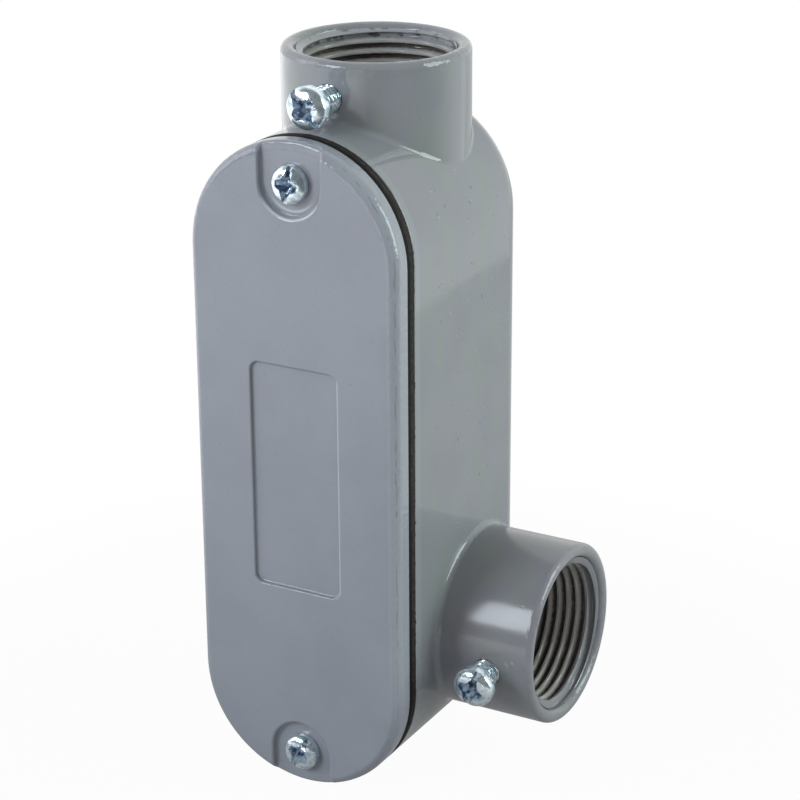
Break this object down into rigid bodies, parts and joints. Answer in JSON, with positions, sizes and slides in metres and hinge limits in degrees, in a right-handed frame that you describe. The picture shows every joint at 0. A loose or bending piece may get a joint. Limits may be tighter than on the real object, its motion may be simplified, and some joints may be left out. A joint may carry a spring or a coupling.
{
  "type": "conduit body",
  "caption": "Angled conduit body with a threaded hub on its end and another out of its side, a set screw in each hub, and a gasketed cover held by screws.",
  "frame": {"origin": "on the axis of the top hub, where its threaded wall begins just inside the mouth", "axes": "+Z along the top hub's axis, out of its mouth; +X along the side hub's axis, out of its mouth; -Y out through the cover, +Y out of the flat back"},
  "size_m": [0.0565, 0.0458, 0.1244],
  "materials": {
    "casting_paint": "semi-gloss",
    "gasket_rubber": "matte",
    "zinc": "bright"
  },
  "bodies": {
    "casting": {"housing": "casting_paint", "gasket": "gasket_rubber", "cover": "casting_paint"},
    "upper_cover_screw_body": {"upper_cover_screw": "zinc"},
    "lower_cover_screw_body": {"lower_cover_screw": "zinc"},
    "top_set_screw_body": {"top_set_screw": "zinc"},
    "side_set_screw_body": {"side_set_screw": "zinc"}
  },
  "joints": [
    {"name": "upper_cover_screw_travel", "type": "slide", "parent": "casting", "child": "upper_cover_screw_body", "axis": [0, -1, 0], "range_m": [0, 0.005]},
    {"name": "lower_cover_screw_travel", "type": "slide", "parent": "casting", "child": "lower_cover_screw_body", "axis": [0, -1, 0], "range_m": [0, 0.005]},
    {"name": "top_set_screw_travel", "type": "slide", "parent": "casting", "child": "top_set_screw_body", "axis": [0, 1, 0], "range_m": [-0.0006, 0.0052]},
    {"name": "side_set_screw_travel", "type": "slide", "parent": "casting", "child": "side_set_screw_body", "axis": [0, 0.9903, 0.1392], "range_m": [-0.0024, 0.0034]}
  ]
}
